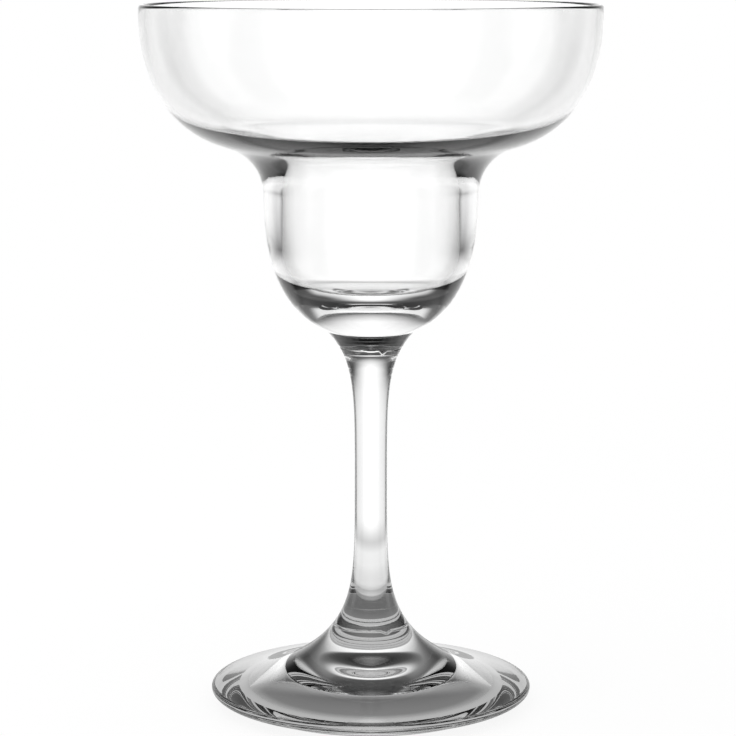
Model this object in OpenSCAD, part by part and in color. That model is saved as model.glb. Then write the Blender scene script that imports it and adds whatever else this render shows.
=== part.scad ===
// Stemmed margarita glass of clear glass, in millimetres, +Z up.
// The origin is the centre of the foot, on the surface that it stands on.
// Bowl, stem and foot are three pieces, welded end to end while hot.
//
// Every outline is a list of [radius, height] points. Its curved stretches are
// corners rounded by a conic: the fullness is 0 for a straight cut across the
// corner, about 0.7 for an ellipse, and above 1 for a curve close to the corner.

/* [Rim and basin] */
// Outer diameter of the rim
rim_d = 110; // [96:1:124]
// Thickness of the glass at the rim
rim_t = 1.6; // [1.1:0.05:2]
// Upright stretch of the outside below the rim
rim_band_h = 2.75; // [1.5:0.25:6]
// Upright stretch of the inside below the rim
inner_band_h = 2.15; // [1.5:0.25:8]
// Height of the bowl, from its weld to the rim
bowl_h = 82; // [76:1:92]
// Slope of the basin's underside next to the well, in degrees
basin_slope = 18.5; // [15:0.5:21]
// Width of the straight stretch of the basin's underside
basin_flat_w = 10.85; // [9:0.25:14]
// Fullness of the basin's outside
basin_fullness = 0.874; // [0.7:0.01:1]
// Slope of the basin's floor next to the well, in degrees
floor_slope = 11.7; // [11:0.1:16]
// Thickness of the glass between the two corners of the shoulder
floor_t = 2.55; // [2:0.05:5]
// Width of the straight stretch of the basin's floor
floor_flat_w = 14.5; // [14:0.1:18.5]
// Fullness of the basin's inside
inner_basin_fullness = 0.92; // [0.7:0.01:0.95]

/* [Shoulder and well] */
// Outer diameter of the well
well_d = 51.6; // [46:0.2:56]
// Thickness of the well's wall
well_t = 4.55; // [3.5:0.1:5.5]
// Height of the shoulder's corner above the bowl's weld
shoulder_h = 45.3; // [43:0.1:48]
// Length of each leg of the shoulder's rounded corner, outside
shoulder_leg = 8.6; // [5:0.1:8.6]
// Fullness of the shoulder's rounded corner, outside
shoulder_fullness = 0.87; // [0.5:0.01:1]
// Length of the inner shoulder's rounding along the basin's floor
inner_shoulder_run = 13.4; // [6:0.1:14]
// Length of the inner shoulder's rounding down the well's wall
inner_shoulder_drop = 9.6; // [6:0.1:14]
// Fullness of the shoulder's rounded corner, inside
inner_shoulder_fullness = 0.735; // [0.5:0.005:1.2]
// Height above the bowl's weld at which the well's round bottom turns upright
well_upright_h = 36.6; // [30:0.1:36.6]
// Slope of the well's bottom where it meets the button, in degrees
well_base_slope = 24.4; // [18:0.2:30]
// Fullness of the well's round bottom
well_fullness = 1.016; // [0.8:0.01:1.2]
// Thickness of the glass under the well, above the button
base_t = 8.3; // [7:0.05:13]
// Length of each leg of the rounded corner inside the well
well_corner_leg = 12.7; // [6:0.1:14]
// Fullness of the rounded corner inside the well
well_corner_fullness = 0.925; // [0.5:0.005:1]
// Diameter of the button under the well, at the crease between them
button_d = 21.3; // [18:0.1:24]
// Height of the button, from the bowl's weld to the crease
button_h = 3.9; // [3:0.1:6]

/* [Stem] */
// Diameter of the stem between its flares
stem_d = 7.96; // [6.5:0.02:10]
// Length of the stem, from weld to weld
stem_l = 68.7; // [60:0.1:110]
// Height of the upper flare, from the crease down
upper_flare_h = 56; // [40:0.5:70]
// How fast the upper flare dies away
upper_flare_power = 8.2; // [5:0.1:11]
// Height of the lower flare, from its root on the foot up
lower_flare_h = 49.8; // [35:0.2:60]
// How fast the lower flare dies away
lower_flare_power = 5.9; // [4:0.1:8]

/* [Foot] */
// Outer diameter of the foot
foot_d = 78.4; // [68:0.2:90]
// Height of the foot's weld above the table
foot_h = 19.3; // [16:0.1:24]
// Diameter of the flare where it grows out of the foot's upper side
root_d = 33.6; // [28:0.2:38]
// Height of the flare's root above the table
root_h = 12.15; // [10.5:0.05:13.5]
// Height of the upper side at the foot's edge
edge_h = 4.63; // [4.2:0.01:5.5]
// Width of the rounding along the foot's edge
edge_w = 1.2; // [0.6:0.1:1.6]
// Slope of the upper side at the foot's edge, in degrees
edge_slope = 3.9; // [2:0.1:7]
// Fullness of the foot's upper side
top_fullness = 0.917; // [0.7:0.001:1.1]
// Slope of the foot's underside outside its standing ring, in degrees
under_slope = 20.4; // [12:0.1:22]
// Outer diameter of the ring that the foot stands on
ring_d = 63.2; // [57:0.1:67]
// Width of the ring that the foot stands on
ring_w = 2.7; // [0.8:0.1:4]
// Height of the hollow under the middle of the foot
hollow_h = 3.7; // [2:0.1:5]
// Slope of the hollow's side, up from the standing ring, in degrees
hollow_slope = 21.4; // [19:0.1:26]
// Width of the rounding at the edge of the hollow's flat middle
hollow_round_w = 0.5; // [0.2:0.1:2]
// Fullness of the hollow's side
hollow_fullness = 0.9; // [0.6:0.01:1.1]
// Diameter of the round boss that hangs in the middle of the hollow
boss_d = 20; // [12:0.2:28]
// How far the boss hangs down
boss_h = 1.5; // [0.5:0.1:2.4]

/* [Hidden] */
$fn = 96;

// Counts of straight steps along the curves
corner_steps = 14;
curve_steps = 28;
boss_steps = 16;
edge_steps = 6;
lip_steps = 12;
flare_steps = 10;
stem_steps = 56;
// Fullness of the small rounding along the foot's edge
edge_fullness = 0.8;

// Heights of the two welds, of the crease and of the rim above the table
bowl_weld_z = foot_h + stem_l;
crease_z = bowl_weld_z + button_h;
rim_z = bowl_weld_z + bowl_h;

// Radii of the rim, of the well and of the stem
rim_r = rim_d / 2;
inner_rim_r = rim_r - rim_t;
well_r = well_d / 2;
inner_well_r = well_r - well_t;
button_r = button_d / 2;
stem_r = stem_d / 2;
root_r = root_d / 2;
foot_r = foot_d / 2;
ring_r = ring_d / 2;
boss_r = boss_d / 2;

// Heights of the shoulder's outer and inner corners, and of the well's floor
shoulder_z = bowl_weld_z + shoulder_h;
inner_shoulder_z = shoulder_z + floor_t;
well_floor_z = crease_z + base_t;

clear_glass = [0.90, 0.95, 0.96, 0.45];

// Points along a corner from a to b, rounded by a conic: the legs meet at c
function rounded(a, c, b, fullness, steps) = [
    for (i = [0 : steps])
        let (
            t = i / steps,
            wa = (1 - t) * (1 - t),
            wc = 2 * fullness * t * (1 - t),
            wb = t * t
        )
        (wa * a + wc * c + wb * b) / (wa + wc + wb)
];

// The point a given length from p, at a slope in degrees
function along(p, slope, length) = p + length * [cos(slope), sin(slope)];

// The point on the line through p at a slope in degrees, at a given radius
function at_radius(p, slope, r) = [r, p.y + (r - p.x) * tan(slope)];

// How much of a flare is left at a given reach from its wide end
function flare_share(reach, height, power) = pow(max(0, 1 - reach / height), power);

// Radius of the stem, its flares and what they grow out of, at height z
function stem_radius(z) =
    stem_r
    + (button_r - stem_r) * flare_share(crease_z - z, upper_flare_h, upper_flare_power)
    + (root_r - stem_r) * flare_share(z - root_h, lower_flare_h, lower_flare_power);

// The flared outline between two heights
function flared(z0, z1, steps) = [
    for (i = [0 : steps])
        let (z = z0 + (z1 - z0) * i / steps)
        [stem_radius(z), z]
];

// The list without its first point, for joining outlines end to start
function tail(points) = [for (i = [1 : len(points) - 1]) points[i]];

// The bowl's outside, from the weld to the rim
function bowl_outside() =
    let (
        crease = [stem_radius(crease_z), crease_z],
        corner = [well_r, shoulder_z],
        flat_end = at_radius(corner, basin_slope, well_r + basin_flat_w)
    )
    concat(
        flared(bowl_weld_z, crease_z, flare_steps),
        tail(rounded(
            crease,
            at_radius(crease, well_base_slope, well_r),
            [well_r, bowl_weld_z + well_upright_h],
            well_fullness, curve_steps
        )),
        rounded(
            corner - [0, shoulder_leg],
            corner,
            along(corner, basin_slope, shoulder_leg),
            shoulder_fullness, corner_steps
        ),
        rounded(
            flat_end,
            at_radius(corner, basin_slope, rim_r),
            [rim_r, rim_z - rim_band_h],
            basin_fullness, curve_steps
        )
    );

// The round lip of the rim, from outside to inside
function lip() =
    let (lip_r = rim_t / 2)
    [
        for (i = [0 : lip_steps])
            let (a = 180 * i / lip_steps)
            [rim_r - lip_r + lip_r * cos(a), rim_z - lip_r + lip_r * sin(a)]
    ];

// The bowl's inside, from the rim to the middle of the well's floor
function bowl_inside() =
    let (
        corner = [inner_well_r, inner_shoulder_z],
        flat_end = at_radius(corner, floor_slope, inner_well_r + floor_flat_w),
        floor_corner = [inner_well_r, well_floor_z]
    )
    concat(
        rounded(
            [inner_rim_r, rim_z - inner_band_h],
            at_radius(corner, floor_slope, inner_rim_r),
            flat_end,
            inner_basin_fullness, curve_steps
        ),
        rounded(
            along(corner, floor_slope, inner_shoulder_run),
            corner,
            corner - [0, inner_shoulder_drop],
            inner_shoulder_fullness, corner_steps
        ),
        rounded(
            floor_corner + [0, well_corner_leg],
            floor_corner,
            floor_corner - [well_corner_leg, 0],
            well_corner_fullness, corner_steps
        ),
        [[0, well_floor_z]]
    );

// The bowl: basin, shoulder, well and the button that the stem is welded to
module bowl() {
    color(clear_glass)
        rotate_extrude()
            polygon(concat(
                [[0, bowl_weld_z]],
                bowl_outside(),
                lip(),
                bowl_inside()
            ));
}

// The solid stem, with the middle parts of both flares
module stem() {
    color(clear_glass)
        rotate_extrude()
            polygon(concat(
                [[0, foot_h]],
                flared(foot_h, bowl_weld_z, stem_steps),
                [[0, bowl_weld_z]]
            ));
}

// How much of the boss's depth is left at a given radius
function boss_share(r) =
    let (t = min(1, r / boss_r))
    1 - t * t * (3 - 2 * t);

// The boss, from the axis out to the hollow's flat middle
function boss_outline() = [
    for (i = [0 : boss_steps])
        let (r = boss_r * i / boss_steps)
        [r, hollow_h - boss_h * boss_share(r)]
];

// The foot's underside, from the middle of the hollow to the edge
function foot_underside() =
    let (
        inner_ring = [ring_r - ring_w, 0],
        outer_ring = [ring_r, 0],
        hollow_corner = [inner_ring.x - hollow_h / tan(hollow_slope), hollow_h],
        flat_end = hollow_corner - [hollow_round_w, 0]
    )
    concat(
        boss_outline(),
        rounded(flat_end, hollow_corner, inner_ring, hollow_fullness, curve_steps),
        [outer_ring, at_radius(outer_ring, under_slope, foot_r - edge_w)]
    );

// The foot's edge, rounded below and above
function foot_edge() =
    let (
        low = at_radius([ring_r, 0], under_slope, foot_r),
        high = [foot_r, edge_h],
        middle = (low + high) / 2
    )
    concat(
        tail(rounded(
            at_radius([ring_r, 0], under_slope, foot_r - edge_w),
            low, middle, edge_fullness, edge_steps
        )),
        tail(rounded(middle, high, high - [edge_w, 0], edge_fullness, edge_steps))
    );

// The foot's upper side, from the edge up to the root of the flare.
// It leaves the edge at edge_slope and meets the flare at the flare's own slope.
function foot_top() =
    let (
        edge = [foot_r - edge_w, edge_h],
        root = [stem_radius(root_h), root_h],
        root_slope = atan(lower_flare_h / ((root_r - stem_r) * lower_flare_power)),
        fall = tan(root_slope) - tan(edge_slope),
        corner_r = (root.y - edge.y + root.x * tan(root_slope) - edge.x * tan(edge_slope)) / fall
    )
    tail(rounded(edge, at_radius(edge, -edge_slope, corner_r), root, top_fullness, curve_steps));

// The foot: a disc with a raised middle, a rounded edge and a hollow with a boss underneath
module foot() {
    color(clear_glass)
        rotate_extrude()
            polygon(concat(
                foot_underside(),
                foot_edge(),
                foot_top(),
                tail(flared(root_h, foot_h, flare_steps)),
                [[0, foot_h]]
            ));
}

bowl();
stem();
foot();
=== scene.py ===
"""The looks of a stemmed margarita glass of clear glass.

Three pieces are welded end to end while hot: a blown bowl, a drawn stem and a pressed foot.
Each one is an outline turned about the glass's axis by a geometry node tree, which also
presses the weld lines and the faint unevenness of hand-worked glass into the surface.
Everything is in metres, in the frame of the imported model.
"""

from __future__ import annotations

import logging
import math
from dataclasses import astuple, dataclass, field
from enum import Enum

import bpy
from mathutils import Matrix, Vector


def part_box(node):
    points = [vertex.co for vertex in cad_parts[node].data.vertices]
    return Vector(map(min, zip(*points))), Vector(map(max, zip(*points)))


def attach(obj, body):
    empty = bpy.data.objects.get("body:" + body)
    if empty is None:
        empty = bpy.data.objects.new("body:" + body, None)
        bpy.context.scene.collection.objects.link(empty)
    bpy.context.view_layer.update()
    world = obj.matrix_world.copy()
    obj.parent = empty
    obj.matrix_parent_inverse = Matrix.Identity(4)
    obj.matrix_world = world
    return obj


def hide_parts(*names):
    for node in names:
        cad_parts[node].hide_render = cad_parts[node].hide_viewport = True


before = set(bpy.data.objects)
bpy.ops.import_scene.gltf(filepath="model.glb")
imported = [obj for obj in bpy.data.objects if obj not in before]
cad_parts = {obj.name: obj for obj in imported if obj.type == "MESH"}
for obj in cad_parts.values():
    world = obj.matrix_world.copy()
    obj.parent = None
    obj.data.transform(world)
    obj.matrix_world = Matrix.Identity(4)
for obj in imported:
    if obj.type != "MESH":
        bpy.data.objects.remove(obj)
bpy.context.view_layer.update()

LOG = logging.getLogger("margarita_glass")

BODY = "root"
MM = 0.001
WHITE = (1.0, 1.0, 1.0, 1.0)

# Steps round the glass, and along the curves of its outlines
ROUND_STEPS = 288
CURVE_STEPS = 44
CORNER_STEPS = 22
LIP_STEPS = 26
EDGE_STEPS = 12
FLARE_STEPS = 170
WELD_STEPS = 26

# How far the finely stepped stretch of an outline reaches from a weld
WELD_REACH = 2.6 * MM
# Points of an outline that lie closer than this count as one
CLOSEST = 0.01 * MM

# The tree's inputs that a weld line and a ripple fill, in the order of their fields
WELD_INPUTS = (
    "Weld Height", "Weld Depth", "Weld Width", "Weld Wave", "Weld Seed", "Notch Drop", "Notch Angle",
)
RIPPLE_INPUTS = ("Ripple Depth", "Ripple Size", "Ripple Stretch", "Ripple Seed")

Socket = bpy.types.NodeSocket
Outputs = bpy.types.bpy_prop_collection


def rounded(start: Vector, corner: Vector, end: Vector, fullness: float, steps: int) -> list[Vector]:
    """Rounds a corner of an outline with a conic.

    Args:
        start: Where the curve leaves the first leg.
        corner: Where the two legs would meet.
        end: Where the curve joins the second leg.
        fullness: 0 for a straight cut, about 0.7 for an ellipse, above 1 for a curve close to the corner.
        steps: How many straight steps stand for the curve.

    Returns:
        The points along the curve, with both ends.
    """
    points = []
    for i in range(steps + 1):
        t = i / steps
        first, middle, last = (1 - t) ** 2, 2 * fullness * t * (1 - t), t * t
        points.append((first * start + middle * corner + last * end) / (first + middle + last))
    return points


def at_radius(point: Vector, slope: float, radius: float) -> Vector:
    """Follows a straight line through a point to a given radius.

    Args:
        point: A point on the line.
        slope: The line's slope in degrees.
        radius: The radius to stop at.

    Returns:
        The point of the line at that radius.
    """
    return Vector((radius, point.y + (radius - point.x) * math.tan(math.radians(slope))))


def along(point: Vector, slope: float, length: float) -> Vector:
    """Goes a given length from a point.

    Args:
        point: Where to start.
        slope: The direction's slope in degrees.
        length: How far to go.

    Returns:
        The point that is reached.
    """
    angle = math.radians(slope)
    return point + length * Vector((math.cos(angle), math.sin(angle)))


@dataclass(frozen=True)
class Flare:
    """One end of the stem, where it widens towards the bowl or the foot."""

    wide_r: float
    wide_z: float
    height: float
    power: float
    upwards: bool

    def share(self, z: float) -> float:
        """Returns how much of the flare is left at height z: 1 at its wide end, then less."""
        reach = self.wide_z - z if self.upwards else z - self.wide_z
        return max(0.0, 1 - reach / self.height) ** self.power

    def end_slope(self, radius: float) -> float:
        """Returns the flare's slope at its wide end in degrees, for a stem of the given radius."""
        return math.degrees(math.atan(self.height / ((self.wide_r - radius) * self.power)))


@dataclass(frozen=True)
class StemShape:
    """The one smooth outline that runs through the button, the stem and the top of the foot."""

    radius: float
    upper: Flare
    lower: Flare

    def at(self, z: float) -> Vector:
        """Gives the outline's point at one height.

        Args:
            z: The height above the table.

        Returns:
            The point, as radius and height.
        """
        r = self.radius
        for flare in (self.upper, self.lower):
            r += (flare.wide_r - self.radius) * flare.share(z)
        return Vector((r, z))

    def between(self, low: float, high: float, steps: int) -> list[Vector]:
        """Gives the outline between two heights.

        Args:
            low: The first height.
            high: The last height.
            steps: How many straight steps stand for the curve.

        Returns:
            The points, with both ends.
        """
        return [self.at(low + (high - low) * i / steps) for i in range(steps + 1)]


class NodeMaker:
    """Adds nodes to one tree and links them."""

    def __init__(self, tree: bpy.types.NodeTree) -> None:
        """Takes the tree that the nodes go into."""
        self.tree = tree

    def add(
        self, kind: str, inputs: dict[str | int, object] | None = None, **settings: object
    ) -> bpy.types.Node:
        """Adds one node.

        Args:
            kind: The node's type name.
            inputs: Values or sockets for its inputs, by the input's name or number.
            **settings: Properties of the node itself.

        Returns:
            The new node.
        """
        node = self.tree.nodes.new(kind)
        for name, value in settings.items():
            setattr(node, name, value)
        for key, value in (inputs or {}).items():
            if isinstance(value, Socket):
                self.tree.links.new(value, node.inputs[key])
            else:
                node.inputs[key].default_value = value
        return node

    def math(self, operation: str, *values: Socket | float) -> Socket:
        """Works out one number.

        Args:
            operation: The name of the sum, such as ADD.
            *values: Numbers or sockets, in the node's order.

        Returns:
            The socket of the result.
        """
        return self.add("ShaderNodeMath", dict(enumerate(values)), operation=operation).outputs[0]

    def whole(self, operation: str, *values: Socket | int) -> Socket:
        """Works out one whole number.

        Args:
            operation: The name of the sum, such as MODULO.
            *values: Whole numbers or sockets, in the node's order.

        Returns:
            The socket of the result.
        """
        node = self.add("FunctionNodeIntegerMath", dict(enumerate(values)), operation=operation)
        return node.outputs[0]

    def fade(self, value: Socket, start: Socket | float, end: Socket | float) -> Socket:
        """Turns a number into a soft step.

        Args:
            value: The number to follow.
            start: Where the step is still 0.
            end: Where the step has reached 1; it may lie below start.

        Returns:
            The socket of the step.
        """
        inputs = {"Value": value, "From Min": start, "From Max": end}
        return self.add("ShaderNodeMapRange", inputs, interpolation_type="SMOOTHSTEP").outputs["Result"]

    def blend(self, factor: Socket | float, first: Socket | float, second: Socket | float) -> Socket:
        """Mixes two numbers.

        Args:
            factor: 0 for the first number, 1 for the second.
            first: The first number or socket.
            second: The second number or socket.

        Returns:
            The socket of the mixture.
        """
        return self.add("ShaderNodeMix", {0: factor, 2: first, 3: second}, data_type="FLOAT").outputs[0]

    def ramp(self, value: Socket, stops: tuple[tuple[float, float], ...]) -> Socket:
        """Follows straight lines between given levels.

        Args:
            value: The number to follow.
            stops: Where each level stands, and the level, in rising order.

        Returns:
            The socket of the level.
        """
        low, high = stops[0][0], stops[-1][0]
        inputs = {"Value": value, "From Min": low, "From Max": high}
        share = self.add("ShaderNodeMapRange", inputs).outputs[0]
        node = self.add("ShaderNodeValToRGB", {0: share})
        marks = node.color_ramp.elements
        # The new marks start in the middle, and then every mark is moved to its stop
        while len(marks) < len(stops):
            marks.new(0.5)
        for mark, (place, level) in zip(marks, stops):
            mark.position = (place - low) / (high - low)
            mark.color = (level, level, level, 1.0)
        return node.outputs["Color"]

    def vector(self, x: Socket | float, y: Socket | float, z: Socket | float) -> Socket:
        """Puts three numbers together and returns the socket of the vector."""
        return self.add("ShaderNodeCombineXYZ", {0: x, 1: y, 2: z}).outputs[0]

    def shade(self, factor: Socket | float, first: Socket, second: Socket) -> Socket:
        """Mixes two shaders.

        Args:
            factor: 0 for the first shader, 1 for the second.
            first: The socket of the first shader.
            second: The socket of the second shader.

        Returns:
            The socket of the mixture.
        """
        return self.add("ShaderNodeMixShader", {0: factor, 1: first, 2: second}).outputs[0]


def new_group(
    name: str, kind: str, sockets: dict[str, str], results: dict[str, str]
) -> bpy.types.NodeTree:
    """Makes a node group with named inputs and outputs.

    Args:
        name: The group's name.
        kind: The type of tree.
        sockets: The inputs' names and their types.
        results: The outputs' names and their types.

    Returns:
        The group, still without nodes.
    """
    tree = bpy.data.node_groups.new(name, kind)
    for direction, wanted in (("INPUT", sockets), ("OUTPUT", results)):
        for label, socket_type in wanted.items():
            tree.interface.new_socket(name=label, in_out=direction, socket_type=socket_type)
    return tree


def new_material(name: str) -> tuple[bpy.types.Material, NodeMaker]:
    """Makes a material that has no nodes yet.

    Args:
        name: The material's name.

    Returns:
        The material, and the maker of its nodes.
    """
    material = bpy.data.materials.new(name)
    material.use_nodes = True
    material.node_tree.nodes.clear()
    return material, NodeMaker(material.node_tree)


def new_object(name: str, data: bpy.types.ID) -> bpy.types.Object:
    """Makes an object and puts it into the scene.

    Args:
        name: The object's name.
        data: The mesh, lamp or camera that it shows.

    Returns:
        The object.
    """
    made = bpy.data.objects.new(name, data)
    bpy.context.scene.collection.objects.link(made)
    return made


@dataclass(frozen=True)
class WeldLine:
    """The faint uneven line that a hot weld leaves round the glass."""

    height: float
    depth: float = 0.0
    width: float = 0.5 * MM
    wave: float = 0.0
    seed: float = 0.0
    notch_drop: float = 0.0
    notch_angle: float = 0.0

    def inputs(self, end: str) -> dict[str, float]:
        """Names the line's values as the tree's inputs for one end, Lower or Upper."""
        return {f"{end} {name}": value for name, value in zip(WELD_INPUTS, astuple(self))}


# Stands for the weld at an end that has none: it lies far below the glass
NO_WELD = WeldLine(height=-1.0)


@dataclass(frozen=True)
class Ripple:
    """The faint unevenness of glass that was worked by hand."""

    depth: float
    size: float
    stretch: float
    seed: float

    def inputs(self) -> dict[str, float]:
        """Names the ripple's values as the tree's inputs."""
        return dict(zip(RIPPLE_INPUTS, astuple(self)))


class GlassLathe:
    """The geometry node trees that turn an outline into a piece of glass."""

    FLOAT = "NodeSocketFloat"
    # Points closer than this are merged, at the seam and on the axis
    MERGE_WITHIN = 0.001 * MM
    # Points closer to the axis than this stay in place
    STILL_RADIUS = 2.0 * MM
    # Half the width of the notch in a weld line, in degrees
    NOTCH_HALF = 9.0
    # How often a weld line waves round the glass, and the middle of the noise that it follows
    WAVE_SCALE = 1.3
    NOISE_MIDDLE = 0.5
    # How many finer layers the ripples have
    RIPPLE_DETAIL = 1.0
    # How many weld widths the ripples need to come back beside a weld
    CALM_WIDTHS = 6.0
    # Edges that bend more than this stay crisp, in degrees
    CRISP_ANGLE = 14.0

    def __init__(self) -> None:
        """Builds the two trees."""
        self.weld_tree = self.make_weld_tree()
        self.tree = self.make_lathe_tree()

    def make_weld_tree(self) -> bpy.types.NodeTree:
        """Builds the group that presses one weld line into the surface.

        Returns:
            The group: it puts out the line's depth, and a mask that is 0 on the weld.
        """
        sockets = {"Height": self.FLOAT, "Angle": self.FLOAT}
        sockets.update({name: self.FLOAT for name in WELD_INPUTS})
        results = {"Depth": self.FLOAT, "Clear": self.FLOAT}
        tree = new_group("weld_line", "GeometryNodeTree", sockets, results)
        make = NodeMaker(tree)
        given = make.add("NodeGroupInput").outputs
        height, angle = given["Height"], given["Angle"]
        circle = make.vector(make.math("COSINE", angle), make.math("SINE", angle), given["Weld Seed"])
        noise = make.add("ShaderNodeTexNoise", {"Vector": circle, "Scale": self.WAVE_SCALE}).outputs[0]
        swing = make.math("SUBTRACT", noise, self.NOISE_MIDDLE)
        wave = make.math("MULTIPLY", swing, given["Weld Wave"])
        turned = make.math("SUBTRACT", angle, make.math("RADIANS", given["Notch Angle"]))
        away = make.math("ABSOLUTE", make.math("WRAP", turned, math.pi, -math.pi))
        half = math.radians(self.NOTCH_HALF)
        share = make.math("MAXIMUM", make.math("SUBTRACT", 1.0, make.math("DIVIDE", away, half)), 0.0)
        drop = make.math("MULTIPLY", share, given["Notch Drop"])
        middle = make.math("SUBTRACT", make.math("ADD", given["Weld Height"], wave), drop)
        offset = make.math("ABSOLUTE", make.math("SUBTRACT", height, middle))
        line = make.fade(offset, given["Weld Width"], 0.0)
        beside = make.math("ABSOLUTE", make.math("SUBTRACT", height, given["Weld Height"]))
        clear = make.fade(beside, 0.0, make.math("MULTIPLY", given["Weld Width"], self.CALM_WIDTHS))
        depth = make.math("MULTIPLY", line, given["Weld Depth"])
        make.add("NodeGroupOutput", {"Depth": depth, "Clear": clear})
        return tree

    def make_lathe_tree(self) -> bpy.types.NodeTree:
        """Builds the tree that turns the outline, presses the lines in and sets the materials.

        Returns:
            The finished tree.
        """
        sockets = {"Geometry": "NodeSocketGeometry", "Round Steps": "NodeSocketInt"}
        for end in ("Lower", "Upper"):
            sockets.update({f"{end} {name}": self.FLOAT for name in WELD_INPUTS})
        sockets.update({name: self.FLOAT for name in RIPPLE_INPUTS})
        sockets.update({"Glass": "NodeSocketMaterial", "Weld Face": "NodeSocketMaterial"})
        tree = new_group("glass_lathe", "GeometryNodeTree", sockets, {"Geometry": "NodeSocketGeometry"})
        make = NodeMaker(tree)
        given = make.add("NodeGroupInput").outputs

        # A grid with one column of points for each step round, each as long as the outline
        size = make.add("GeometryNodeAttributeDomainSize", {"Geometry": given["Geometry"]})
        count = size.outputs["Point Count"]
        columns = make.whole("ADD", given["Round Steps"], 1)
        counts = {"Vertices X": columns, "Vertices Y": count}
        grid = make.add("GeometryNodeMeshGrid", counts).outputs["Mesh"]
        index = make.add("GeometryNodeInputIndex").outputs[0]
        column = make.whole("DIVIDE_FLOOR", index, count)
        angle = make.math("MULTIPLY", make.math("DIVIDE", column, given["Round Steps"]), math.tau)

        # Each point takes its place from the outline, less what the weld lines and ripples take away
        point = self.outline_point(make, given["Geometry"], make.whole("MODULO", index, count))
        radius, height = point["X"], point["Z"]
        sunk, clear = self.weld_lines(make, given, height, angle)
        sunk = make.math("ADD", sunk, self.ripples(make, given, radius, height, angle, clear))
        moving = make.math("GREATER_THAN", radius, self.STILL_RADIUS)
        reach = make.math("SUBTRACT", radius, make.math("MULTIPLY", sunk, moving))
        east = make.math("MULTIPLY", reach, make.math("COSINE", angle))
        north = make.math("MULTIPLY", reach, make.math("SINE", angle))
        spot = make.vector(east, north, height)
        turned = make.add("GeometryNodeSetPosition", {"Geometry": grid, "Position": spot}).outputs[0]
        merge = {"Geometry": turned, "Distance": self.MERGE_WITHIN}
        solid = make.add("GeometryNodeMergeByDistance", merge).outputs[0]

        # Smooth glass with crisp edges, then the glass and its weld faces
        smooth = make.add("GeometryNodeSetShadeSmooth", {"Geometry": solid}, domain="FACE").outputs[0]
        bend = make.add("GeometryNodeInputMeshEdgeAngle").outputs["Unsigned Angle"]
        crisp = make.math("GREATER_THAN", bend, math.radians(self.CRISP_ANGLE))
        edges = {"Geometry": smooth, "Selection": crisp, "Shade Smooth": False}
        edged = make.add("GeometryNodeSetShadeSmooth", edges, domain="EDGE").outputs[0]
        realized = make.add("GeometryNodeRealizeInstances", {"Geometry": edged}).outputs[0]
        coat = {"Geometry": realized, "Material": given["Glass"]}
        coated = make.add("GeometryNodeSetMaterial", coat).outputs[0]
        welded = self.weld_faces(make, given)
        faces = {"Geometry": coated, "Selection": welded, "Material": given["Weld Face"]}
        make.add("NodeGroupOutput", {0: make.add("GeometryNodeSetMaterial", faces).outputs[0]})
        return tree

    @staticmethod
    def outline_point(make: NodeMaker, outline: Socket, row: Socket) -> Outputs:
        """Looks one point of the outline up.

        Args:
            make: The maker of the tree.
            outline: The outline's geometry.
            row: The point's number.

        Returns:
            The outputs that hold the point's radius as X and its height as Z.
        """
        place = make.add("GeometryNodeInputPosition").outputs[0]
        inputs = {"Geometry": outline, "Value": place, "Index": row}
        node = make.add("GeometryNodeSampleIndex", inputs, data_type="FLOAT_VECTOR")
        return make.add("ShaderNodeSeparateXYZ", {0: node.outputs[0]}).outputs

    def weld_lines(
        self, make: NodeMaker, given: Outputs, height: Socket, angle: Socket
    ) -> tuple[Socket, Socket]:
        """Adds both weld lines.

        Args:
            make: The maker of the tree.
            given: The tree's own inputs.
            height: The point's height.
            angle: The point's angle about the axis.

        Returns:
            The depth of the lines, and the mask that keeps the ripples off the welds.
        """
        depths, masks = [], []
        for end in ("Lower", "Upper"):
            inputs = {"Height": height, "Angle": angle}
            inputs.update({name: given[f"{end} {name}"] for name in WELD_INPUTS})
            line = make.add("GeometryNodeGroup", inputs, node_tree=self.weld_tree)
            depths.append(line.outputs["Depth"])
            masks.append(line.outputs["Clear"])
        return make.math("ADD", *depths), make.math("MULTIPLY", *masks)

    def ripples(
        self, make: NodeMaker, given: Outputs, radius: Socket, height: Socket, angle: Socket, clear: Socket
    ) -> Socket:
        """Adds the faint unevenness of the surface.

        Args:
            make: The maker of the tree.
            given: The tree's own inputs.
            radius: The point's radius.
            height: The point's height.
            angle: The point's angle about the axis.
            clear: The mask that keeps the ripples off the welds.

        Returns:
            The depth of the ripples.
        """
        east = make.math("MULTIPLY", radius, make.math("COSINE", angle))
        north = make.math("MULTIPLY", radius, make.math("SINE", angle))
        tall = make.math("DIVIDE", height, given["Ripple Stretch"])
        spot = make.vector(east, north, make.math("ADD", tall, given["Ripple Seed"]))
        scale = make.math("DIVIDE", 1.0, given["Ripple Size"])
        inputs = {"Vector": spot, "Scale": scale, "Detail": self.RIPPLE_DETAIL}
        noise = make.add("ShaderNodeTexNoise", inputs).outputs[0]
        return make.math("MULTIPLY", make.math("MULTIPLY", noise, clear), given["Ripple Depth"])

    def weld_faces(self, make: NodeMaker, given: Outputs) -> Socket:
        """Finds the flat faces that are welded to the next piece.

        Args:
            make: The maker of the tree.
            given: The tree's own inputs.

        Returns:
            The selection of the faces that lie at the height of a weld.
        """
        place = make.add("GeometryNodeInputPosition").outputs[0]
        height = make.add("ShaderNodeSeparateXYZ", {0: place}).outputs["Z"]
        near = []
        for end in ("Lower", "Upper"):
            offset = make.math("ABSOLUTE", make.math("SUBTRACT", height, given[f"{end} Weld Height"]))
            near.append(make.math("LESS_THAN", offset, self.MERGE_WITHIN))
        return make.math("MAXIMUM", *near)

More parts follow.
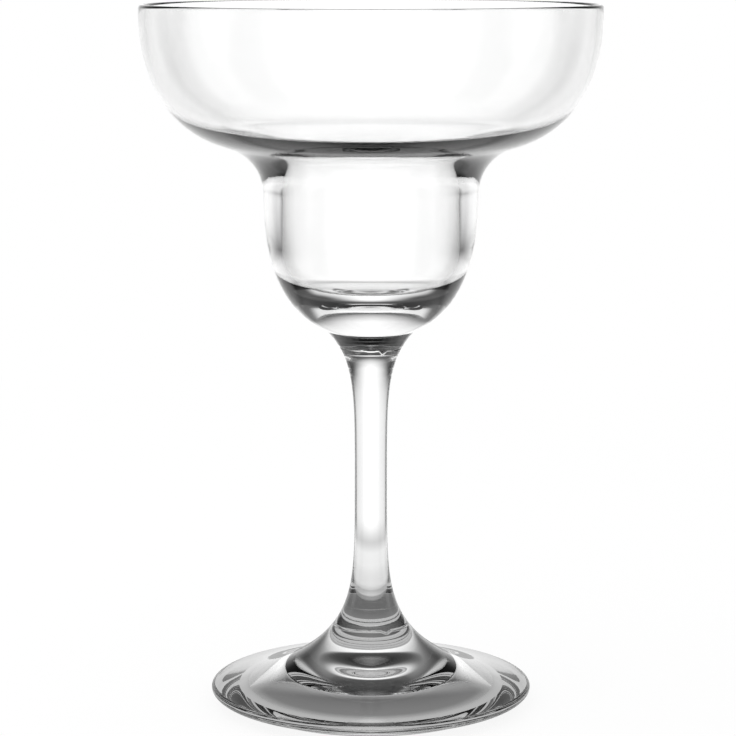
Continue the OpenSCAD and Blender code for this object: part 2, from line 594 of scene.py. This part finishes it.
    def turn(self, name: str, outline: list[Vector], values: dict[str, object]) -> bpy.types.Object:
        """Turns an outline into a plain mesh object.

        Args:
            name: The new object's name.
            outline: The points, as radius and height, from the axis outside and back to it.
            values: The tree's inputs by name.

        Returns:
            The finished object, with no modifier on it.
        """
        mesh = bpy.data.meshes.new(f"{name}_outline")
        edges = [(i, i + 1) for i in range(len(outline) - 1)]
        mesh.from_pydata([(point.x, 0.0, point.y) for point in outline], edges, [])
        source = new_object(f"{name}_outline", mesh)
        modifier = source.modifiers.new("lathe", "NODES")
        modifier.node_group = self.tree
        inputs = [item for item in self.tree.interface.items_tree if item.in_out == "INPUT"]
        names = {item.name: item.identifier for item in inputs}
        for label, value in {"Round Steps": ROUND_STEPS, **values}.items():
            modifier[names[label]] = value
        bpy.context.view_layer.update()
        evaluated = source.evaluated_get(bpy.context.evaluated_depsgraph_get())
        result = bpy.data.meshes.new_from_object(evaluated)
        result.name = name
        source.modifiers.remove(modifier)
        bpy.data.objects.remove(source)
        bpy.data.meshes.remove(mesh)
        return new_object(name, result)


class Working(Enum):
    """How a piece of the glass was worked while hot, which its surface still shows."""

    BLOWN = "blown"
    DRAWN = "drawn"
    PRESSED = "pressed"


class SurfaceGroup:
    """The shader node group that gives each glass its fine surface and its faintly tinted streaks."""

    # How many finer layers the streaks have
    STREAK_DETAIL = 2.0

    def __init__(self) -> None:
        """Builds the group."""
        sockets = {
            "Clear Colour": "NodeSocketColor",
            "Streak Colour": "NodeSocketColor",
            "Streak Size": "NodeSocketFloat",
            "Streak Stretch": "NodeSocketFloat",
            "Streak Height": "NodeSocketFloat",
        }
        results = {"Colour": "NodeSocketColor", "Height": "NodeSocketFloat"}
        self.tree = new_group("worked_glass_surface", "ShaderNodeTree", sockets, results)
        make = NodeMaker(self.tree)
        given = make.add("NodeGroupInput").outputs
        place = make.add("ShaderNodeTexCoord").outputs["Object"]
        split = make.add("ShaderNodeSeparateXYZ", {0: place}).outputs
        tall = make.math("DIVIDE", split["Z"], given["Streak Stretch"])
        spot = make.vector(split["X"], split["Y"], tall)
        scale = make.math("DIVIDE", 1.0, given["Streak Size"])
        inputs = {"Vector": spot, "Scale": scale, "Detail": self.STREAK_DETAIL}
        noise = make.add("ShaderNodeTexNoise", inputs).outputs[0]
        # A Mix node takes its factor at socket 0 and its colours at 6 and 7, and gives the mixture at 2
        mixed = {0: noise, 6: given["Clear Colour"], 7: given["Streak Colour"]}
        colour = make.add("ShaderNodeMix", mixed, data_type="RGBA")
        height = make.math("MULTIPLY", noise, given["Streak Height"])
        make.add("NodeGroupOutput", {"Colour": colour.outputs[2], "Height": height})


@dataclass(frozen=True)
class GlassFinish:
    """Clear glass with the surface that its way of working leaves."""

    working: Working
    clear_colour: tuple[float, float, float]
    streak_colour: tuple[float, float, float]
    streak_size: float
    streak_stretch: float
    streak_height: float
    index: float = 1.52
    shadow: float = 0.93

    def make(self, surface: SurfaceGroup) -> bpy.types.Material:
        """Makes the material.

        Args:
            surface: The group that gives the fine surface and the tinted streaks.

        Returns:
            The material. Shadow rays pass straight through it, a little dimmed.
        """
        material, make = new_material(f"{self.working.value}_glass")
        inputs = {
            "Clear Colour": (*self.clear_colour, 1.0),
            "Streak Colour": (*self.streak_colour, 1.0),
            "Streak Size": self.streak_size,
            "Streak Stretch": self.streak_stretch,
            "Streak Height": self.streak_height,
        }
        group = make.add("ShaderNodeGroup", inputs, node_tree=surface.tree)
        relief = {"Strength": 1.0, "Distance": 1.0, "Height": group.outputs["Height"]}
        bump = make.add("ShaderNodeBump", relief)
        glass = make.add(
            "ShaderNodeBsdfPrincipled",
            {
                "Base Color": group.outputs["Colour"],
                "Roughness": 0.0,
                "IOR": self.index,
                "Transmission Weight": 1.0,
                "Normal": bump.outputs[0],
            },
        ).outputs[0]
        dimmed = (self.shadow, self.shadow, self.shadow, 1.0)
        through = make.add("ShaderNodeBsdfTransparent", {"Color": dimmed}).outputs[0]
        shadow_ray = make.add("ShaderNodeLightPath").outputs["Is Shadow Ray"]
        make.add("ShaderNodeOutputMaterial", {"Surface": make.shade(shadow_ray, glass, through)})
        return material


def weld_face_material() -> bpy.types.Material:
    """Makes the material of the faces that are melted together, which can't be seen.

    Returns:
        The material.
    """
    material, make = new_material("weld_face")
    clear = make.add("ShaderNodeBsdfPrincipled", {"Alpha": 0.0, "Base Color": WHITE})
    make.add("ShaderNodeOutputMaterial", {"Surface": clear.outputs[0]})
    return material


@dataclass
class GlassPiece:
    """One piece of the glass: its outline, its welds and its finish."""

    node: str
    name: str
    shape: StemShape
    lower_weld: WeldLine
    upper_weld: WeldLine
    ripple: Ripple
    finish: GlassFinish

    def outline(self) -> list[Vector]:
        """Gives the outline from the axis, round the outside and back to the axis."""
        raise NotImplementedError

    def near_weld(self, low: float, high: float) -> list[Vector]:
        """Gives a finely stepped stretch of the stem's outline beside a weld."""
        return self.shape.between(low, high, WELD_STEPS)

    def build(
        self, lathe: GlassLathe, surface: SurfaceGroup, hidden: bpy.types.Material
    ) -> bpy.types.Object:
        """Makes the piece and puts it in the place of its node.

        Args:
            lathe: The node trees that turn the outline.
            surface: The group that gives the glass its fine surface.
            hidden: The material of the weld faces.

        Returns:
            The finished piece.
        """
        values = {"Glass": self.finish.make(surface), "Weld Face": hidden, **self.ripple.inputs()}
        values.update(self.lower_weld.inputs("Lower"))
        values.update(self.upper_weld.inputs("Upper"))
        points = []
        for point in self.outline():
            if not points or (point - points[-1]).length > CLOSEST:
                points.append(point)
        piece = lathe.turn(self.name, points, values)
        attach(piece, BODY)
        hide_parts(self.node)
        return piece


@dataclass
class Bowl(GlassPiece):
    """The blown bowl: basin, shoulder, well and the button under the well."""

    rim_r: float = 55.0 * MM
    rim_t: float = 1.6 * MM
    rim_band_h: float = 2.75 * MM
    inner_band_h: float = 2.15 * MM
    rim_z: float = 170.0 * MM
    basin_slope: float = 18.5
    basin_flat_w: float = 10.85 * MM
    basin_fullness: float = 0.874
    floor_slope: float = 11.7
    floor_t: float = 2.55 * MM
    floor_flat_w: float = 14.5 * MM
    inner_basin_fullness: float = 0.92
    well_r: float = 25.8 * MM
    well_t: float = 4.55 * MM
    shoulder_h: float = 45.3 * MM
    shoulder_leg: float = 8.6 * MM
    shoulder_fullness: float = 0.87
    inner_shoulder_run: float = 13.4 * MM
    inner_shoulder_drop: float = 9.6 * MM
    inner_shoulder_fullness: float = 0.735
    well_upright_h: float = 36.6 * MM
    well_base_slope: float = 24.4
    well_fullness: float = 1.016
    base_t: float = 8.3 * MM
    well_corner_leg: float = 12.7 * MM
    well_corner_fullness: float = 0.925

    def outside(self) -> list[Vector]:
        """Gives the outside, from the weld to the rim.

        Returns:
            The points, as radius and height.
        """
        weld_z, crease_z = self.lower_weld.height, self.shape.upper.wide_z
        crease = self.shape.at(crease_z)
        corner = Vector((self.well_r, weld_z + self.shoulder_h))
        flat_end = at_radius(corner, self.basin_slope, self.well_r + self.basin_flat_w)
        rim_start = Vector((self.rim_r, self.rim_z - self.rim_band_h))
        well_turn = at_radius(crease, self.well_base_slope, self.well_r)
        upright = Vector((self.well_r, weld_z + self.well_upright_h))
        shoulder_foot = corner - Vector((0, self.shoulder_leg))
        shoulder_end = along(corner, self.basin_slope, self.shoulder_leg)
        basin_turn = at_radius(corner, self.basin_slope, self.rim_r)
        return [
            *self.near_weld(weld_z, crease_z),
            *rounded(crease, well_turn, upright, self.well_fullness, CURVE_STEPS),
            *rounded(shoulder_foot, corner, shoulder_end, self.shoulder_fullness, CORNER_STEPS),
            *rounded(flat_end, basin_turn, rim_start, self.basin_fullness, CURVE_STEPS),
        ]

    def lip(self) -> list[Vector]:
        """Gives the round lip of the rim, from outside to inside.

        Returns:
            The points, as radius and height.
        """
        lip_r = self.rim_t / 2
        middle = Vector((self.rim_r - lip_r, self.rim_z - lip_r))
        angles = [math.pi * i / LIP_STEPS for i in range(LIP_STEPS + 1)]
        return [middle + lip_r * Vector((math.cos(a), math.sin(a))) for a in angles]

    def inside(self) -> list[Vector]:
        """Gives the inside, from the rim to the middle of the well's floor.

        Returns:
            The points, as radius and height.
        """
        inner_r, inner_rim_r = self.well_r - self.well_t, self.rim_r - self.rim_t
        corner = Vector((inner_r, self.lower_weld.height + self.shoulder_h + self.floor_t))
        floor_corner = Vector((inner_r, self.shape.upper.wide_z + self.base_t))
        band_end = Vector((inner_rim_r, self.rim_z - self.inner_band_h))
        basin_turn = at_radius(corner, self.floor_slope, inner_rim_r)
        flat_end = at_radius(corner, self.floor_slope, inner_r + self.floor_flat_w)
        shoulder_start = along(corner, self.floor_slope, self.inner_shoulder_run)
        shoulder_end = corner - Vector((0, self.inner_shoulder_drop))
        wall_end = floor_corner + Vector((0, self.well_corner_leg))
        floor_start = floor_corner - Vector((self.well_corner_leg, 0))
        return [
            *rounded(band_end, basin_turn, flat_end, self.inner_basin_fullness, CURVE_STEPS),
            *rounded(shoulder_start, corner, shoulder_end, self.inner_shoulder_fullness, CORNER_STEPS),
            *rounded(wall_end, floor_corner, floor_start, self.well_corner_fullness, CORNER_STEPS),
            Vector((0, floor_corner.y)),
        ]

    def outline(self) -> list[Vector]:
        """Gives the outline from the weld, over the rim and down to the well's floor."""
        return [Vector((0, self.lower_weld.height)), *self.outside(), *self.lip(), *self.inside()]


@dataclass
class Stem(GlassPiece):
    """The solid drawn stem, with the middle parts of both flares."""

    def outline(self) -> list[Vector]:
        """Gives the outline from the lower weld to the upper one.

        Returns:
            The points, as radius and height.
        """
        low, high = self.lower_weld.height, self.upper_weld.height
        return [
            Vector((0, low)),
            *self.near_weld(low, low + WELD_REACH),
            *self.shape.between(low + WELD_REACH, high - WELD_REACH, FLARE_STEPS),
            *self.near_weld(high - WELD_REACH, high),
            Vector((0, high)),
        ]


@dataclass
class Foot(GlassPiece):
    """The pressed foot: a disc with a raised middle, over a hollow that has a round boss in it."""

    foot_r: float = 39.2 * MM
    edge_h: float = 4.63 * MM
    edge_w: float = 1.2 * MM
    edge_slope: float = 3.9
    edge_fullness: float = 0.8
    top_fullness: float = 0.917
    under_slope: float = 20.4
    ring_r: float = 31.6 * MM
    ring_w: float = 2.7 * MM
    hollow_h: float = 3.7 * MM
    hollow_slope: float = 21.4
    hollow_round_w: float = 0.5 * MM
    hollow_fullness: float = 0.9
    boss_r: float = 10.0 * MM
    boss_h: float = 1.5 * MM

    def boss_drop(self, radius: float) -> float:
        """Returns how far the boss hangs down from the hollow at one radius."""
        t = min(1.0, radius / self.boss_r)
        return self.boss_h * (1 - t * t * (3 - 2 * t))

    def underside(self) -> list[Vector]:
        """Gives the underside, from the boss in the middle of the hollow to the standing ring.

        Returns:
            The points, as radius and height.
        """
        inner_ring, outer_ring = Vector((self.ring_r - self.ring_w, 0)), Vector((self.ring_r, 0))
        run = self.hollow_h / math.tan(math.radians(self.hollow_slope))
        turn = Vector((inner_ring.x - run, self.hollow_h))
        flat_end = turn - Vector((self.hollow_round_w, 0))
        reaches = [self.boss_r * i / CURVE_STEPS for i in range(CURVE_STEPS + 1)]
        return [
            *(Vector((r, self.hollow_h - self.boss_drop(r))) for r in reaches),
            *rounded(flat_end, turn, inner_ring, self.hollow_fullness, CURVE_STEPS),
            outer_ring,
        ]

    def edge(self) -> list[Vector]:
        """Gives the edge, rounded below and above.

        Returns:
            The points, as radius and height.
        """
        ring = Vector((self.ring_r, 0))
        start = at_radius(ring, self.under_slope, self.foot_r - self.edge_w)
        low, high = at_radius(ring, self.under_slope, self.foot_r), Vector((self.foot_r, self.edge_h))
        middle, end = (low + high) / 2, high - Vector((self.edge_w, 0))
        return [
            *rounded(start, low, middle, self.edge_fullness, EDGE_STEPS),
            *rounded(middle, high, end, self.edge_fullness, EDGE_STEPS),
        ]

    def top(self) -> list[Vector]:
        """Gives the upper side, from the edge up to the root of the flare.

        Returns:
            The points, as radius and height.
        """
        edge = Vector((self.foot_r - self.edge_w, self.edge_h))
        root = self.shape.at(self.shape.lower.wide_z)
        rise = math.tan(math.radians(self.shape.lower.end_slope(self.shape.radius)))
        fall = math.tan(math.radians(self.edge_slope))
        corner_r = (root.y - edge.y + root.x * rise - edge.x * fall) / (rise - fall)
        corner = at_radius(edge, -self.edge_slope, corner_r)
        return rounded(edge, corner, root, self.top_fullness, CURVE_STEPS)

    def outline(self) -> list[Vector]:
        """Gives the outline from the hollow, round the edge and up to the weld.

        Returns:
            The points, as radius and height.
        """
        root_z, weld_z = self.shape.lower.wide_z, self.upper_weld.height
        return [
            *self.underside(),
            *self.edge(),
            *self.top(),
            *self.shape.between(root_z, weld_z - WELD_REACH, EDGE_STEPS),
            *self.near_weld(weld_z - WELD_REACH, weld_z),
            Vector((0, weld_z)),
        ]


@dataclass(frozen=True)
class Panel:
    """Upright panels that face each other across the studio.

    The middle is the angle from straight behind or before the glass, in degrees, and so are the
    half width and the width of the soft edge.
    """

    middle: float
    half: float
    soft: float
    level: float


@dataclass(frozen=True)
class Studio:
    """The plain pale studio: its floor, its soft lamp and what stands round the glass.

    A window stands before and behind the glass, pale panels stand to its sides, and grey cards
    stand between these, as grey cards beside clear glass make its edges show. The walls are pale
    up to the horizon and darken above it.
    """

    # How bright the walls are, as elevation in degrees and level
    walls: tuple[tuple[float, float], ...] = (
        (-90.0, 0.9), (-30.0, 0.86), (-8.0, 0.84), (-2.0, 0.7), (3.0, 0.48), (8.0, 0.2), (12.0, 0.07),
        (16.0, 0.04), (22.0, 0.07), (32.0, 0.05), (45.0, 0.02), (90.0, 0.01),
    )
    # The windows, the grey cards and the side panels
    panels: tuple[Panel, ...] = (
        Panel(middle=0.0, half=22.0, soft=44.0, level=1.18),
        Panel(middle=66.0, half=13.0, soft=14.0, level=0.05),
        Panel(middle=90.0, half=9.0, soft=12.0, level=0.62),
    )
    # How much of the panels is left, as elevation in degrees and share
    panel_share: tuple[tuple[float, float], ...] = (
        (-90.0, 1.0), (10.0, 1.0), (17.0, 0.6), (23.0, 0.1), (28.0, 0.02), (42.0, 0.02), (55.0, 0.14),
        (90.0, 0.14),
    )
    # The light that the floor and the rest of the scene get from all round
    daylight: float = 0.75
    # Painted shadow of the glass on the floor, which glows to the glass's own rays: dark under the foot
    # and lighter further out, as distance from the axis and level
    painted_shadow_rings: tuple[tuple[float, float], ...] = (
        (0.0, 0.14), (12.0 * MM, 0.16), (19.0 * MM, 0.2), (26.0 * MM, 0.24), (30.0 * MM, 0.52),
        (44.0 * MM, 0.54), (54.0 * MM, 0.76), (75.0 * MM, 0.8), (95.0 * MM, 0.88), (125.0 * MM, 0.88),
        (150.0 * MM, 0.6), (200.0 * MM, 0.6),
    )
    # Where the glass no longer sees the floor's painted glow, and where that begins
    rings_end: float = 200.0 * MM
    rings_fade: float = 140.0 * MM
    # Painted reflection that darkens the floor where the glass's rays meet it at a grazing angle: its
    # level, and where it begins and ends
    painted_reflection_level: float = 0.42
    painted_reflection_from: float = 0.72
    painted_reflection_full: float = 0.88
    # With this blend, Facing is 1 less the cosine of the angle from straight above
    facing_blend: float = 0.5
    # The floor's size, where it begins to fade into the white, and how much of its shadow shows
    floor_r: float = 0.5
    floor_fade_r: float = 0.22
    floor_steps: int = 96
    shadow_share: float = 0.15
    lamp_size: float = 0.9
    lamp_energy: float = 6.0
    lamp_place: tuple[float, float, float] = (-0.35, -0.1, 1.3)

    def make_world(self) -> None:
        """Builds the world: white to the camera, walls and panels to the glass, daylight to the rest."""
        world = bpy.data.worlds.new("studio")
        bpy.context.scene.world = world
        world.use_nodes = True
        world.node_tree.nodes.clear()
        make = NodeMaker(world.node_tree)
        direction = make.add("ShaderNodeTexCoord").outputs["Generated"]
        split = make.add("ShaderNodeSeparateXYZ", {0: direction}).outputs
        # The angle from straight behind the glass, folded so that its front and back are the same
        compass = make.math("ARCTAN2", split["X"], split["Y"])
        around = make.math("DEGREES", make.math("ABSOLUTE", compass))
        folded = make.math("MINIMUM", around, make.math("SUBTRACT", 180.0, around))
        height = make.math("DEGREES", make.math("ARCSINE", split["Z"]))
        walls = make.ramp(height, self.walls)
        band = make.ramp(height, self.panel_share)
        for panel in self.panels:
            away = make.math("ABSOLUTE", make.math("SUBTRACT", folded, panel.middle))
            share = make.fade(away, panel.half + panel.soft / 2, panel.half - panel.soft / 2)
            walls = make.blend(make.math("MULTIPLY", share, band), walls, panel.level)
        path = make.add("ShaderNodeLightPath").outputs
        through = make.math("MAXIMUM", path["Is Glossy Ray"], path["Is Transmission Ray"])
        seen = make.blend(through, self.daylight, walls)
        strength = make.blend(path["Is Camera Ray"], seen, 1.0)
        light = make.add("ShaderNodeBackground", {"Color": WHITE, "Strength": strength})
        make.add("ShaderNodeOutputWorld", {"Surface": light.outputs[0]})

    def make_floor(self) -> None:
        """Builds the pale floor, which fades into the white background and keeps the glass's shadow; to
        the glass's rays it glows with a painted shadow and a painted reflection.
        """
        material, make = new_material("pale_floor")
        place = make.add("ShaderNodeTexCoord").outputs["Object"]
        reach = make.add("ShaderNodeVectorMath", {0: place}, operation="LENGTH").outputs["Value"]
        lit = make.add("ShaderNodeBsdfDiffuse", {"Color": WHITE}).outputs[0]
        glow = make.add("ShaderNodeEmission", {"Color": WHITE, "Strength": 1.0}).outputs[0]
        clear = make.add("ShaderNodeBsdfTransparent", {"Color": WHITE}).outputs[0]
        # Painted reflection: the floor's glow to the glass darkens where the glass's rays meet the floor
        # at a grazing angle
        facing = make.add("ShaderNodeLayerWeight", {"Blend": self.facing_blend}).outputs["Facing"]
        grazing = make.fade(facing, self.painted_reflection_from, self.painted_reflection_full)
        level = make.blend(grazing, make.ramp(reach, self.painted_shadow_rings), self.painted_reflection_level)
        # The floor glows to the glass's rays with the painted shadow under the glass, though it is no lamp
        painted_floor_glow = make.add("ShaderNodeEmission", {"Color": WHITE, "Strength": level}).outputs[0]
        glassy = make.shade(make.fade(reach, self.rings_end, self.rings_fade), clear, painted_floor_glow)
        near = make.fade(reach, self.floor_r, self.floor_fade_r)
        fade = make.math("MULTIPLY", near, self.shadow_share)
        path = make.add("ShaderNodeLightPath").outputs
        through = make.math("MAXIMUM", path["Is Glossy Ray"], path["Is Transmission Ray"])
        other = make.shade(through, lit, glassy)
        floor_look = make.shade(path["Is Camera Ray"], other, make.shade(fade, glow, lit))
        make.add("ShaderNodeOutputMaterial", {"Surface": floor_look})
        angles = [math.tau * i / self.floor_steps for i in range(self.floor_steps)]
        ring = [(self.floor_r * math.cos(a), self.floor_r * math.sin(a), 0.0) for a in angles]
        mesh = bpy.data.meshes.new("floor")
        mesh.from_pydata(ring, [], [range(self.floor_steps)])
        mesh.materials.append(material)
        floor = new_object("floor", mesh)

    def make_lamps(self) -> None:
        """Hangs one large soft lamp over the glass, which gives the floor a soft shadow."""
        lamp = bpy.data.lights.new("soft_box", "AREA")
        lamp.shape = "DISK"
        lamp.size = self.lamp_size
        lamp.energy = self.lamp_energy
        box = new_object("soft_box", lamp)
        box.location = self.lamp_place
        box.rotation_euler = (-box.location).to_track_quat("-Z", "Y").to_euler()
        box.visible_glossy = False
        box.visible_transmission = False


@dataclass(frozen=True)
class PhotoCamera:
    """The camera that took the photograph, fitted to the rim's and the foot's outlines."""

    picture_px: float = 736.0
    focal_px: float = 2565.0
    sensor_mm: float = 36.0
    place: tuple[float, float, float] = (-0.7 * MM, -613.0 * MM, 182.4 * MM)
    pitch_down: float = 9.24
    near: float = 0.01

    def make(self) -> None:
        """Creates the camera and makes it the scene's own."""
        data = bpy.data.cameras.new("photo_camera")
        data.sensor_width = self.sensor_mm
        data.lens = self.focal_px / self.picture_px * self.sensor_mm
        data.clip_start = self.near
        camera = new_object("photo_camera", data)
        camera.location = self.place
        camera.rotation_euler = (math.radians(90 - self.pitch_down), 0.0, 0.0)
        bpy.context.scene.camera = camera


@dataclass
class MargaritaGlass:
    """The whole glass, with the sizes that its pieces share."""

    stem_r: float = 3.98 * MM
    button_r: float = 10.65 * MM
    button_h: float = 3.9 * MM
    upper_flare_h: float = 56.0 * MM
    upper_flare_power: float = 8.2
    root_r: float = 16.8 * MM
    root_z: float = 12.15 * MM
    lower_flare_h: float = 49.8 * MM
    lower_flare_power: float = 5.9
    clear_colour: tuple[float, float, float] = (1.0, 1.0, 1.0)
    blown_streaks: tuple[float, float, float] = (0.985, 0.987, 0.986)
    worked_streaks: tuple[float, float, float] = (0.98, 0.983, 0.982)
    pieces: list[bpy.types.Object] = field(default_factory=list)

    def shared_outline(self, foot_weld_z: float, bowl_weld_z: float) -> StemShape:
        """Sets out the outline that all three pieces share.

        Args:
            foot_weld_z: The height of the weld on the foot, which lies inside the lower flare.
            bowl_weld_z: The height of the weld on the bowl, below the top of the button.

        Returns:
            The outline.
        """
        upper = Flare(
            wide_r=self.button_r, wide_z=bowl_weld_z + self.button_h, height=self.upper_flare_h,
            power=self.upper_flare_power, upwards=True,
        )
        lower = Flare(
            wide_r=self.root_r, wide_z=self.root_z, height=self.lower_flare_h,
            power=self.lower_flare_power, upwards=False,
        )
        return StemShape(radius=self.stem_r, upper=upper, lower=lower)

    def parts(self) -> list[GlassPiece]:
        """Lists the three pieces with their welds and finishes.

        Returns:
            The pieces, from the top down.
        """
        foot_weld_z, bowl_weld_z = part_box("stem")[0].z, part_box("stem")[1].z
        shape = self.shared_outline(foot_weld_z, bowl_weld_z)
        foot_weld = WeldLine(
            height=foot_weld_z, depth=0.10 * MM, width=0.32 * MM, wave=0.25 * MM, seed=3.0,
            notch_drop=0.5 * MM, notch_angle=-66.0,
        )
        bowl_weld = WeldLine(
            height=bowl_weld_z, depth=0.16 * MM, width=0.42 * MM, wave=1.3 * MM, seed=7.0,
            notch_drop=1.0 * MM, notch_angle=-67.0,
        )
        return [
            Bowl(
                node="bowl", name="blown_bowl", shape=shape, lower_weld=bowl_weld, upper_weld=NO_WELD,
                ripple=Ripple(depth=0.05 * MM, size=14.0 * MM, stretch=0.6, seed=5.0),
                finish=GlassFinish(
                    working=Working.BLOWN, clear_colour=self.clear_colour,
                    streak_colour=self.blown_streaks, streak_size=9.0 * MM, streak_stretch=0.5,
                    streak_height=0.002 * MM,
                ),
            ),
            Stem(
                node="stem", name="drawn_stem", shape=shape, lower_weld=foot_weld, upper_weld=bowl_weld,
                ripple=Ripple(depth=0.04 * MM, size=5.0 * MM, stretch=4.0, seed=2.0),
                finish=GlassFinish(
                    working=Working.DRAWN, clear_colour=self.clear_colour,
                    streak_colour=self.worked_streaks, streak_size=2.5 * MM, streak_stretch=12.0,
                    streak_height=0.002 * MM,
                ),
            ),
            Foot(
                node="foot", name="pressed_foot", shape=shape, lower_weld=NO_WELD, upper_weld=foot_weld,
                ripple=Ripple(depth=0.04 * MM, size=9.0 * MM, stretch=1.0, seed=8.0),
                finish=GlassFinish(
                    working=Working.PRESSED, clear_colour=self.clear_colour,
                    streak_colour=self.worked_streaks, streak_size=5.0 * MM, streak_stretch=1.0,
                    streak_height=0.003 * MM,
                ),
            ),
        ]

    def build(self) -> None:
        """Makes the three pieces and reports each one."""
        parts = self.parts()
        lathe, surface, hidden = GlassLathe(), SurfaceGroup(), weld_face_material()
        for part in parts:
            piece = part.build(lathe, surface, hidden)
            self.pieces.append(piece)
            points, faces = len(piece.data.vertices), len(piece.data.polygons)
            LOG.info("%s: %d points, %d faces", piece.name, points, faces)


def main() -> None:
    """Builds the camera, the glass and the studio."""
    logging.basicConfig(level=logging.INFO, format="%(name)s: %(message)s")
    PhotoCamera().make()
    MargaritaGlass().build()
    studio = Studio()
    studio.make_world()
    studio.make_floor()
    studio.make_lamps()
    bpy.context.scene.view_settings.view_transform = "Standard"


if __name__ == "__main__":
    main()
